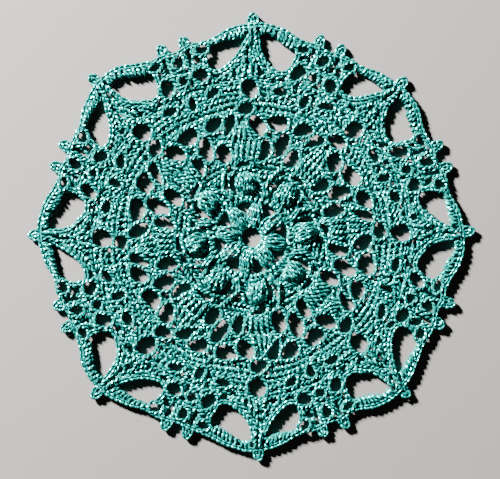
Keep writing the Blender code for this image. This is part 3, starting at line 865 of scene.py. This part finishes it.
class Turn(NamedTuple):
    """One point of the thread's way through a chain stitch."""

    along: float   # in stitches
    across: float  # share of half the braid's width
    height: float  # mm above the table


CHAIN = (
    Turn(0.02, 0.05, 0.45), Turn(0.10, 0.40, 0.95), Turn(0.38, 0.90, 1.38), Turn(0.75, 1.00, 1.34),
    Turn(1.10, 0.72, 1.00), Turn(1.30, 0.28, 0.74), Turn(1.30, -0.28, 0.74), Turn(1.10, -0.72, 1.00),
    Turn(0.75, -1.00, 1.34), Turn(0.38, -0.90, 1.38), Turn(0.10, -0.40, 0.95), Turn(0.06, -0.05, 0.48),
    Turn(0.50, 0.0, 0.42),
)


class Bend(NamedTuple):
    """One point on the way up a tall stitch."""

    share: float   # of the way from the foot to the head
    height: float  # mm above the table
    rise: float    # how much of its fan's own rise is added


POST = (
    Bend(-0.12, 0.9, 0.0), Bend(0.06, 1.6, 0.0), Bend(0.32, 1.35, 1.0),
    Bend(0.6, 1.2, 1.0), Bend(0.85, 1.05, 0.0), Bend(1.0, 0.85, 0.0),
)


class Leg(NamedTuple):
    """One point of a single crochet's leg, from under the edge's braid round the inner line."""

    inward: float  # share of the way from the braid to the inner line
    along: float   # share of the leg's slant along the arch
    height: float  # mm above the table


LEG = (
    Leg(0.15, 0.0, 0.95), Leg(0.45, 0.2, 1.55), Leg(0.80, 0.6, 1.62), Leg(1.0, 0.85, 1.2),
    Leg(1.04, 0.95, 0.8), Leg(0.92, 1.0, 0.48), Leg(0.55, 1.0, 0.46),
)


@dataclass
class Stitches:
    """Works the thread's way through each kind of stitch."""

    yarn: Yarn
    length: float = 2.2        # mm of braid for each stitch
    half_width: float = 0.62   # mm from a braid's middle to the middle of its outer strand
    jog: float = 0.05          # share of its length that a stitch of a braid slips along it
    plumpness: float = 0.08    # share by which it is wider or narrower than the others
    strand_gap: float = 0.42   # mm from the middle of a tall stitch to the middle of a strand
    gap_stray: float = 0.12    # share by which that gap opens and closes on the way
    bow: float = 0.12          # mm that a tall stitch bows sideways
    post_swell: float = 0.8    # share of the gap between its strands at its foot and head
    cord_gap: float = 0.5      # mm from the middle of a cord to the middle of a strand
    cord_height: float = 1.02  # mm from the table to the middle of a cord
    cord_stray: float = 0.13   # mm that a cord strays sideways
    cord_rise: float = 0.14    # mm that it strays up and down
    lift_stray: float = 0.05   # mm that any other stitch lies too high or too low
    lay: float = 4.0           # mm for one turn of a tall stitch's strands
    path_points: int = 8       # points of a stitch's path from one station to the next
    strand_step: float = 0.5   # mm between two points of a strand
    unevenness: float = 0.7    # radians that the twist strays
    slow_stray: float = 3.1    # mm of work for each radian of the slow stray
    fast_stray: float = 1.3    # mm of work for each radian of the fast one
    fast_share: float = 0.6    # size of the fast stray, as a share of the slow one
    rng: np.random.Generator = field(init=False)

    def __post_init__(self) -> None:
        """Start the small unevenness of handwork."""
        self.rng = np.random.default_rng(self.yarn.seed)

    def chain(self, line: Line, width: float = 1.0, lift: float = 0.0) -> np.ndarray:
        """The thread of a braid along a line.

        Args:
            line: the middle of the braid.
            width: share of the usual width.
            lift: mm above the usual height.

        Returns:
            The points that the thread passes.
        """
        count = max(1, round(line.length / self.length))
        pitch = line.length / count
        way = np.array(CHAIN)
        slip = self.rng.normal(0.0, self.jog, (count, 1))
        plump = 1.0 + self.rng.normal(0.0, self.plumpness, (count, 1))
        along = (np.arange(count)[:, None] + way[:, 0] + slip) * pitch
        across = way[:, 1] * self.half_width * width * plump
        height = way[:, 2] + lift + self.rng.normal(0.0, self.lift_stray, (count, 1))
        return np.column_stack([line.at(along.ravel(), across.ravel()), height.ravel()])

    def rope(self, path: np.ndarray, swell: tuple = (1.0, 1.0, 1.0), strands: int = 2,
             lay: float = 1.0) -> list:
        """Strands that wind round a path, as the threads of a tall stitch lie.

        Args:
            path: the middle of the stitch, in mm.
            swell: shares of the usual gap between strands at the foot, middle and head.
            strands: how many threads show.
            lay: share of the usual lay; below zero, twisted the other way.

        Returns:
            The thread lines.
        """
        fine = even_steps(eased(path, self.path_points), self.strand_step)
        side, up = frames(fine[None])
        run = travelled(fine)
        gap = self.strand_gap * np.interp(run / run[-1], (0.0, 0.5, 1.0), swell)
        phase, slow, fast = self.rng.uniform(0, 2 * np.pi, 3)
        stray = (np.sin(run / self.slow_stray + slow)
                 + self.fast_share * np.sin(run / self.fast_stray + fast))
        twist = phase + 2 * np.pi * run / (self.lay * lay) + self.unevenness * stray
        gap = gap * (1.0 + self.gap_stray * np.sin(run / self.fast_stray + slow))
        lines = []
        for strand in range(strands):
            turn = twist + 2 * np.pi * strand / strands
            lines.append(fine + (gap * np.cos(turn))[:, None] * side[0]
                         + (gap * np.sin(turn))[:, None] * up[0])
        return lines

    def cord(self, line: Line, lift: float, lay: float, width: float = 1.0) -> list:
        """The two threads of a cord along a line, which strays a little on its way.

        Args:
            line: the middle of the cord.
            lift: mm above the usual height.
            lay: share of the usual lay; below zero, twisted the other way.
            width: share of the usual gap between its strands.

        Returns:
            The thread lines.
        """
        flat = even_steps(line.spots, self.lay / 2)
        flat = flat + self.rng.normal(0.0, self.cord_stray, flat.shape)
        height = self.cord_height + lift + self.rng.normal(0.0, self.cord_rise, len(flat))
        swell = (width * self.cord_gap / self.strand_gap,) * 3
        return self.rope(np.column_stack([flat, height]), swell, 2, lay)

    def post(self, foot: np.ndarray, head: np.ndarray, rise: float, width: float) -> list:
        """The threads of one tall stitch.

        Args:
            foot: where it starts, in mm in the plane.
            head: where it ends.
            rise: mm that its middle stands above its ends.
            width: share of the usual gap between its strands.

        Returns:
            The thread lines.
        """
        share, height, risen = np.array(POST).T
        way = (head - foot) / np.linalg.norm(head - foot)
        bow = self.rng.normal(0.0, self.bow) * np.sin(np.pi * np.clip(share, 0, 1))
        flat = foot + (head - foot) * share[:, None] + np.array([-way[1], way[0]]) * bow[:, None]
        height = height + rise * risen + self.rng.normal(0.0, self.lift_stray)
        swell = (self.post_swell * width, width, self.post_swell * width)
        return self.rope(np.column_stack([flat, height]), swell)

    def leg(self, outer: np.ndarray, inner: np.ndarray, slant: np.ndarray) -> np.ndarray:
        """The middle of one leg of a single crochet, round the inner line and back underneath.

        Args:
            outer: where it starts, in mm in the plane.
            inner: where it goes round the inner line.
            slant: how far along the arch it goes on its way.

        Returns:
            The points that it passes.
        """
        inward, along, height = np.array(LEG).T
        flat = outer + (inner - outer) * inward[:, None] + slant * along[:, None]
        return np.column_stack([flat, height + self.rng.normal(0.0, self.lift_stray)])


@dataclass
class Doily:
    """The whole doily, worked round by round into its pieces."""

    yarn: Yarn = field(default_factory=Yarn)
    pattern: Pattern = field(default_factory=Pattern)
    rim_width: float = 0.95  # share of a cord's usual width, for the cord round a gap
    rim_lift: float = 0.45   # mm that it lies above the usual height
    fan_stray: tuple = (0.6, 0.12)  # degrees and mm that a corner of a fan lies out of place
    thread_points: int = 4   # points of a thread from one of its turns to the next
    shortest: int = 3        # fewest points of a thread that is left beside a gap
    stitches: Stitches = field(init=False)
    openwork: Openwork = field(init=False)
    skeins: dict = field(init=False)

    def __post_init__(self) -> None:
        """Prepare one skein for each piece."""
        self.stitches = Stitches(self.yarn)
        self.openwork = Openwork(self.pattern)
        self.skeins = {family: Skein(family.value, self.yarn) for family in Family}

    def line(self, polar: np.ndarray, turn: float) -> Line:
        """A line of the chart, laid out at one repeat's turn."""
        return Line(self.pattern.place(polar[:, 0] + turn, polar[:, 1]))

    def laid(self, run: Braid | Cord) -> Iterator[Line]:
        """The line of a run in every repeat, or its one line round them all."""
        polar = charted(run)
        for repeat in range(1 if run.closed else REPEATS):
            yield self.line(polar, repeat * REPEAT_ANGLE)

    def spot(self, angle: float, radius: float) -> np.ndarray:
        """One place, at degrees clockwise from the first repeat's corner."""
        return self.pattern.place(np.array(angle), np.array(radius))

    def add(self, family: Family, line: np.ndarray) -> None:
        """Give a thread to its piece, less what would lie in a gap.

        Args:
            family: the piece.
            line: the points that the thread passes.
        """
        fine = even_steps(eased(line, self.thread_points), self.yarn.ring_step)
        for start, end in stretches(~self.openwork.inside(fine[:, :2]), self.shortest):
            self.skeins[family].add(fine[start:end])

    def work_braids(self) -> None:
        """Work every braid of the chart."""
        for braid in BRAIDS:
            for line in self.laid(braid):
                self.add(braid.family, self.stitches.chain(line, braid.width, braid.lift))

    def work_cords(self) -> None:
        """Work every cord of the chart, and the cord round every gap."""
        for cord in CORDS:
            for line in self.laid(cord):
                for strand in self.stitches.cord(line, cord.lift, cord.lay, cord.width):
                    self.add(cord.family, strand)
        for rim in self.openwork.rims:
            for strand in self.stitches.cord(Line(rim), self.rim_lift, 1.0, self.rim_width):
                self.skeins[Family.RIMS].add(strand)

    def work_fans(self) -> None:
        """Work every fan of tall stitches, its corners a little out of place."""
        for fan in POSTS:
            for repeat in range(REPEATS):
                stray = self.stitches.rng.normal(0.0, self.fan_stray, (4, 2))
                for ends in side_by_side(np.array(fan.corners) + stray, fan.count):
                    foot, head = (self.spot(angle + repeat * REPEAT_ANGLE, radius) for angle, radius in ends)
                    for strand in self.stitches.post(foot, head, fan.rise, fan.width):
                        self.add(fan.family, strand)


class Rib(NamedTuple):
    """One station on the way up a puffed stitch."""

    share: float   # of the way from the foot to the head
    spread: float  # share of the puff's half width
    height: float  # share of the puff's rise
    swell: float   # share of the usual gap between the thread and the middle of its winding


@dataclass
class Puffs:
    """Puffed stitches, one in each repeat, of ribs that lie side by side from foot to head."""

    doily: Doily
    family: Family
    angle: float        # degrees clockwise from the corner, at the foot
    head_angle: float
    foot_radius: float  # mm from the middle of the doily
    head_radius: float
    ribs: int
    half_width: float   # mm, to the middle of the outer rib
    base_height: float  # mm from the table to the middle of a rib's foot
    rise: float         # mm that the crown stands above that
    crown_fall: float   # how far the crown falls to its sides, as a share of its rise
    crown_power: float  # how fast: 1 for an even fall, 0.5 for a round crown
    stray: float        # mm that a rib strays from its place
    lay: float          # share of the usual lay
    stations: tuple

    def work(self) -> None:
        """Work the puffed stitch of every repeat."""
        for repeat in range(REPEATS):
            self.work_one(repeat * REPEAT_ANGLE)

    def work_one(self, turn: float) -> None:
        """Work the ribs of one puffed stitch, at one repeat's turn."""
        for side in np.linspace(-1.0, 1.0, self.ribs):
            self.doily.skeins[self.family].add(self.rib(turn, side))

    def rib(self, turn: float, side: float) -> np.ndarray:
        """One thread, which winds its way from the foot over the crown to the head.

        Args:
            turn: degrees clockwise from the first repeat.
            side: how far the rib lies to the side, as a share of the half width.

        Returns:
            The thread line.
        """
        share, spread, height, swell = np.array(self.stations).T
        radius = self.foot_radius + (self.head_radius - self.foot_radius) * share
        centre = self.angle + (self.head_angle - self.angle) * share ** 2
        angle = centre + np.degrees(side * self.half_width * spread / radius)
        flat = self.doily.pattern.place(turn + angle, radius)
        crown = (1.0 - self.crown_fall * side ** 2) ** self.crown_power
        path = np.column_stack([flat, self.base_height + self.rise * height * crown])
        path += self.doily.stitches.rng.normal(0.0, self.stray, path.shape)
        ends_and_crown = swell[[0, len(swell) // 2, -1]]
        return self.doily.stitches.rope(path, tuple(ends_and_crown), 1, self.lay)[0]


@dataclass
class Flower(Puffs):
    """The eight puffed petals, from the eye in the middle over the ring round it."""

    family: Family = Family.PETALS
    angle: float = 10.0
    head_angle: float = 10.0
    foot_radius: float = 4.1
    head_radius: float = 14.6
    ribs: int = 7
    half_width: float = 2.75
    base_height: float = 0.75
    rise: float = 1.8
    crown_fall: float = 0.45
    crown_power: float = 1.0
    stray: float = 0.08
    lay: float = 1.7
    stations: tuple = (
        Rib(0.0, 0.47, -0.10, 0.5), Rib(0.07, 0.58, 0.30, 0.6), Rib(0.25, 0.85, 0.80, 0.8),
        Rib(0.5, 1.0, 1.0, 0.9), Rib(0.75, 0.88, 0.85, 0.9), Rib(0.92, 0.56, 0.40, 0.8),
        Rib(1.0, 0.28, 0.0, 0.6),
    )


@dataclass
class Popcorns(Puffs):
    """The eight popcorns, each a bunch of tall stitches drawn together at the head."""

    family: Family = Family.POPCORNS
    angle: float = -6.2
    head_angle: float = -4.6
    foot_radius: float = 17.4
    head_radius: float = 26.6
    ribs: int = 8
    half_width: float = 3.6
    base_height: float = 0.9
    rise: float = 2.7
    crown_fall: float = 0.72
    crown_power: float = 0.5
    stray: float = 0.16
    lay: float = 1.2
    stations: tuple = (
        Rib(0.0, 0.70, 0.0, 0.6), Rib(0.12, 0.84, 0.42, 0.7), Rib(0.3, 0.97, 0.82, 0.8),
        Rib(0.5, 1.0, 1.0, 0.85), Rib(0.7, 0.92, 0.92, 0.8), Rib(0.88, 0.66, 0.60, 0.7),
        Rib(1.0, 0.26, 0.1, 0.5),
    )
    bed: tuple = stops((-15.4, 18.4), (8.4, 18.4), (-12.6, 26.6), (6.4, 26.4))  # as a fan's corners
    bed_cords: int = 8
    bed_lift: float = -0.5  # mm above the usual height of a cord

    def work_one(self, turn: float) -> None:
        """Work one popcorn, and below it the low stitches of the round that it stands on."""
        super().work_one(turn)
        for ends in side_by_side(np.array(self.bed), self.bed_cords):
            line = self.doily.line(eased(ends), turn)
            for strand in self.doily.stitches.cord(line, self.bed_lift, 1.0):
                self.doily.skeins[self.family].add(strand)


@dataclass
class Arches:
    """Single crochet worked close together round the sixteen arches of the edge."""

    doily: Doily
    pitch: float = 1.8     # mm from one stitch to the next
    slant: float = 0.9     # mm along the arch from a stitch's head to its foot
    stray: float = 0.15    # mm that a stitch lies out of its place
    swell: tuple = (0.6, 0.85, 0.6)  # shares of the usual gap between strands at foot, middle and head
    edge: np.ndarray = field(init=False)

    def __post_init__(self) -> None:
        """Find the line of the edge's braid, as angles and radii."""
        self.edge = next(charted(braid) for braid in BRAIDS if braid.name == "edge")

    def work(self) -> None:
        """Work every stitch of every arch."""
        for arch in ARCHES:
            for repeat in range(REPEATS):
                self.work_arch(arch, repeat * REPEAT_ANGLE)

    def work_arch(self, arch: Arch, turn: float) -> None:
        """Work one arch.

        Args:
            arch: the charted arch.
            turn: degrees clockwise from the first repeat.
        """
        spot, stitches = self.doily.spot, self.doily.stitches
        inner = polar_line(arch.inner)
        length = math.radians(arch.outer_last - arch.outer_first) * inner[:, 1].mean()
        count = round(length / self.pitch)
        for share in (np.arange(count) + 0.5) / count:
            angle = arch.outer_first + (arch.outer_last - arch.outer_first) * share
            outer = spot(turn + angle, np.interp(angle, *self.edge.T))
            at = share * (len(inner) - 1)
            inner_angle, inner_radius = (np.interp(at, np.arange(len(inner)), axis) for axis in inner.T)
            foot = spot(turn + inner_angle, inner_radius) + stitches.rng.normal(0.0, self.stray, 2)
            way = np.array([foot[1] - outer[1], outer[0] - foot[0]])
            slant = way / np.linalg.norm(way) * self.slant
            for strand in stitches.rope(stitches.leg(outer, foot, slant), self.swell):
                self.doily.skeins[Family.ARCHES].add(strand)


@dataclass
class Picots:
    """The loops of chain at the corners and sides."""

    doily: Doily
    half_width: float = 1.2    # mm from the loop's middle to its chain
    braid_width: float = 1.15  # share of the usual width
    root: float = 0.6          # mm that its ends reach into the edge

    def work(self) -> None:
        """Work every picot."""
        stitches = self.doily.stitches
        reach = stitches.half_width * self.braid_width + self.doily.yarn.radius
        for picot in PICOTS:
            tip, root = picot.tip - reach, picot.base - self.root
            middle = (picot.base + tip) / 2
            half = math.degrees(self.half_width / picot.base)
            left, right = picot.angle - half, picot.angle + half
            polar = polar_line(stops((left, root), (left, middle), (picot.angle, tip),
                                     (right, middle), (right, root)))
            for repeat in range(REPEATS):
                line = self.doily.line(polar, repeat * REPEAT_ANGLE)
                self.doily.add(Family.PICOTS, stitches.chain(line, self.braid_width))


def linear(colour: str) -> tuple:
    """An sRGB hex colour as linear red, green, blue and alpha."""
    values = [int(colour[at:at + 2], 16) / 255 for at in (1, 3, 5)]
    return (*(v / 12.92 if v <= 0.04045 else ((v + 0.055) / 1.055) ** 2.4 for v in values), 1.0)


def add_node(tree: bpy.types.NodeTree, kind: str, settings: dict | None = None,
             links: dict | None = None, values: dict | None = None) -> bpy.types.Node:
    """Add a node.

    Args:
        tree: the tree that it joins.
        kind: its type.
        settings: its own properties, by name.
        links: other nodes' outputs, by the input that they feed.
        values: plain values, by input.

    Returns:
        The node.
    """
    node = tree.nodes.new(kind)
    for name, value in (settings or {}).items():
        setattr(node, name, value)
    sockets = node.inputs
    if kind == "ShaderNodeMix":
        sockets = {socket.name: socket for socket in node.inputs if socket.enabled}
    for name, value in (values or {}).items():
        sockets[name].default_value = value
    for name, output in (links or {}).items():
        tree.links.new(output, sockets[name])
    return node


@dataclass(frozen=True)
class MercerisedCotton:
    """Three-ply crochet cotton, mercerised, which gives each ply a silky shine.

    The plies show as slanting ridges, bumped, with painted shade darkening the grooves between them.
    """

    name: str = SLOT
    colour: str = "#02443F"
    # painted shade: the near-black colour that each groove between the plies is mixed toward
    painted_groove_shade: str = "#00110F"
    shine: str = "#20FFF2"
    shine_level: float = 1.0
    roughness: float = 0.3
    plies: int = 3
    lay: float = 5.4          # mm for one turn of the plies; drawn coarse enough to show
    ridge: float = 0.2        # mm from a groove to a ply's crown
    # this fall also shapes the painted groove shade, not only the bump
    crown_fall: float = 0.75  # how fast a ply's crown falls to its groove

    def material(self) -> bpy.types.Material:
        """Make the material with its nodes.

        Returns:
            The material.
        """
        material = bpy.data.materials.new(self.name)
        material.use_nodes = True
        tree = material.node_tree
        shader = tree.nodes["Principled BSDF"]
        ply = self.ply(tree)
        # painted shade: the base colour darkens toward near black in each groove between the plies
        painted_shade_mix = add_node(tree, "ShaderNodeMix", {"data_type": "RGBA"}, {"Factor": ply},
                        {"A": linear(self.painted_groove_shade), "B": linear(self.colour)})
        bump = add_node(tree, "ShaderNodeBump", {}, {"Height": ply},
                        {"Strength": 1.0, "Distance": self.ridge * MM})
        tree.links.new(painted_shade_mix.outputs["Result"], shader.inputs["Base Color"])
        tree.links.new(bump.outputs["Normal"], shader.inputs["Normal"])
        shader.inputs["Roughness"].default_value = self.roughness
        shader.inputs["Specular IOR Level"].default_value = self.shine_level
        shader.inputs["Specular Tint"].default_value = linear(self.shine)
        return material

    def ply(self, tree: bpy.types.NodeTree) -> bpy.types.NodeSocket:
        """How high each place lies on its ply, 0 in the groove and 1 on the crown.

        Args:
            tree: the tree that the nodes join.

        Returns:
            The output that gives it.
        """
        uv = add_node(tree, "ShaderNodeUVMap", {"uv_map": UV_NAME})
        parts = add_node(tree, "ShaderNodeSeparateXYZ", links={"Vector": uv.outputs["UV"]})
        around, along = parts.outputs["X"], parts.outputs["Y"]
        steps = (
            ("MULTIPLY_ADD", {2: around}, {1: 1.0 / self.lay}),  # turns of the plies
            ("MULTIPLY", {}, {1: float(self.plies)}),
            ("FRACT", {}, {}),                                   # the way across one ply
            ("MULTIPLY_ADD", {}, {1: 2.0, 2: -1.0}),             # from -1 at one groove to 1 at the next
        )
        height = along
        for operation, links, values in steps:
            step = add_node(tree, "ShaderNodeMath", {"operation": operation}, {0: height, **links}, values)
            height = step.outputs[0]
        square = add_node(tree, "ShaderNodeMath", {"operation": "MULTIPLY"}, {0: height, 1: height})
        crown = add_node(tree, "ShaderNodeMath", {"operation": "SUBTRACT"}, {1: square.outputs[0]},
                         {0: 1.0})
        fall = add_node(tree, "ShaderNodeMath", {"operation": "POWER"}, {0: crown.outputs[0]},
                        {1: self.crown_fall})
        return fall.outputs[0]


class Lamp(NamedTuple):
    """One soft light of the studio."""

    name: str
    place: tuple  # metres
    size: float   # metres
    power: float  # watts


@dataclass
class Studio:
    """A plain table, soft lights and a camera straight above."""

    floor_colour: str = "#383633"
    floor_roughness: float = 0.7
    floor_size: float = 6.0      # metres
    floor_drop: float = 0.0001   # metres that it lies below the work
    lamps: tuple = (Lamp("key", (-1.28, 1.23, 0.72), 0.2, 1650.0), Lamp("fill", (0.5, -0.5, 0.8), 0.8, 0.6))
    sky_colour: str = "#DDE4E8"
    sky_strength: float = 0.02
    camera_height: float = 0.7   # metres above the table
    view_width: float = 0.2      # metres across the frame
    view_centre: tuple = (-0.0005, -0.00068)  # metres from the middle of the work
    sensor_width: float = 36.0   # mm

    def build(self, pattern: Pattern) -> None:
        """Make the table, the lights, the sky and the camera.

        Args:
            pattern: the pattern, whose middle the camera hangs over.
        """
        self.add_table()
        for lamp in self.lamps:
            self.add_lamp(lamp)
        world = bpy.data.worlds.new("studio")
        world.use_nodes = True
        sky = world.node_tree.nodes["Background"]
        sky.inputs["Color"].default_value = linear(self.sky_colour)
        sky.inputs["Strength"].default_value = self.sky_strength
        bpy.context.scene.world = world
        self.add_camera(pattern)

    def add_table(self) -> None:
        """Lay the table just under the doily."""
        bpy.ops.mesh.primitive_plane_add(size=self.floor_size, location=(0, 0, -self.floor_drop))
        floor = bpy.context.object
        floor.name = "table"
        material = bpy.data.materials.new("pale_table")
        material.use_nodes = True
        shader = material.node_tree.nodes["Principled BSDF"]
        shader.inputs["Base Color"].default_value = linear(self.floor_colour)
        shader.inputs["Roughness"].default_value = self.floor_roughness
        floor.data.materials.append(material)

    def add_lamp(self, lamp: Lamp) -> None:
        """Hang one soft light, turned to the doily.

        Args:
            lamp: its name, place, size and power.
        """
        light = bpy.data.lights.new(lamp.name, "AREA")
        light.size = lamp.size
        light.energy = lamp.power
        hung = bpy.data.objects.new(lamp.name, light)
        hung.location = lamp.place
        hung.rotation_euler = (-Vector(lamp.place)).to_track_quat("-Z", "Y").to_euler()
        bpy.context.scene.collection.objects.link(hung)

    def add_camera(self, pattern: Pattern) -> None:
        """Hang the camera straight above the work.

        Args:
            pattern: the pattern, whose middle it hangs over.
        """
        data = bpy.data.cameras.new("camera")
        data.sensor_width = self.sensor_width
        data.lens = self.sensor_width * self.camera_height / self.view_width
        camera = bpy.data.objects.new("camera", data)
        centre = -pattern.shift * MM + np.array(self.view_centre)
        camera.location = (*centre, self.camera_height)
        bpy.context.scene.collection.objects.link(camera)
        bpy.context.scene.camera = camera


class Cloth(NamedTuple):
    """One part of the work, as a sheet that lies flat."""

    family: Family  # the piece that makes its cloth
    width: float    # metres, both ways
    area: float     # square metres that its yarn covers, the gaps left out
    trims: tuple    # the pieces worked into it


CLOTHS = (
    Cloth(Family.INNER, 0.091, 0.0035, (Family.PETALS, Family.POPCORNS, Family.LEAVES)),
    Cloth(Family.MIDDLE, 0.130, 0.0051, (Family.BLOCKS,)),
    Cloth(Family.EDGE, 0.172, 0.0089, (Family.BORDER, Family.ARCHES, Family.PICOTS, Family.RIMS)),
)


def dressed(skein: Skein, cotton: bpy.types.Material) -> bpy.types.Object:
    """Make one piece of a skein's threads, in the solid's place, and log it.

    Args:
        skein: the threads.
        cotton: their material.

    Returns:
        The piece.
    """
    mesh = skein.mesh()
    mesh.materials.append(cotton)
    piece = bpy.data.objects.new(skein.name, mesh)
    bpy.context.scene.collection.objects.link(piece)
    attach(piece, BODY)
    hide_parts(NODE)
    length = sum(travelled(line)[-1] for line in skein.lines) * MM
    log.info("%s: %d threads, %.1f m, %d triangles", skein.name, len(skein.lines), length, triangles(mesh))
    return piece


def triangles(mesh: bpy.types.Mesh) -> int:
    """How many triangles a mesh's faces make."""
    return sum(len(face.vertices) - 2 for face in mesh.polygons)


def main() -> None:
    """Work the doily, dress it and set up the studio."""
    logging.basicConfig(level=logging.INFO)
    doily = Doily()
    doily.work_braids()
    doily.work_fans()
    doily.work_cords()
    for rounds in (Flower, Popcorns, Arches, Picots):
        rounds(doily).work()
    cotton = MercerisedCotton().material()
    pieces = {family: dressed(skein, cotton) for family, skein in doily.skeins.items()}
    log.info("all pieces: %d triangles", sum(triangles(piece.data) for piece in pieces.values()))
    for cloth in CLOTHS:
        [pieces[family] for family in cloth.trims]
    Studio().build(doily.pattern)


if __name__ == "__main__":
    main()
